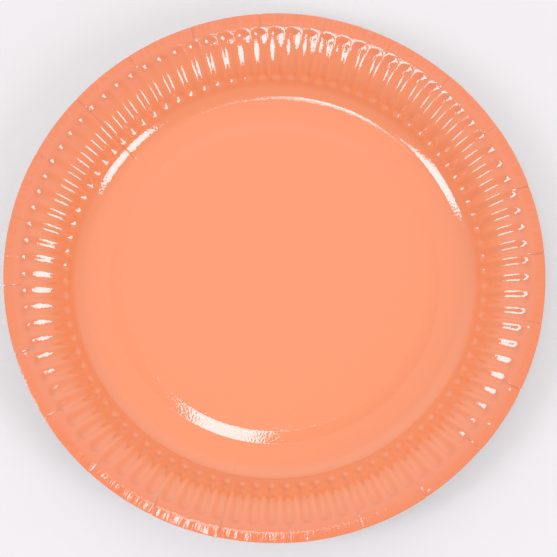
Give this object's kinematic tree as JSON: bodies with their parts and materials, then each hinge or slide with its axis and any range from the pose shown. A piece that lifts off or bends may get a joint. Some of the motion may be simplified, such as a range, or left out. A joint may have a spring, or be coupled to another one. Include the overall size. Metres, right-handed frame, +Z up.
{
  "type": "disposable plate",
  "caption": "Round shallow paper plate pressed from one coated board blank, with a fluted flaring wall, a narrow flat lip and a slightly raised base panel.",
  "frame": {"origin": "centre of the resting plane under the base", "axes": "+Z up along the plate's axis, +X along the middle of a flute"},
  "size_m": [0.23, 0.2298, 0.0189],
  "materials": {
    "coated_board": "gloss"
  },
  "bodies": {
    "root": {"plate": "coated_board"}
  },
  "joints": []
}
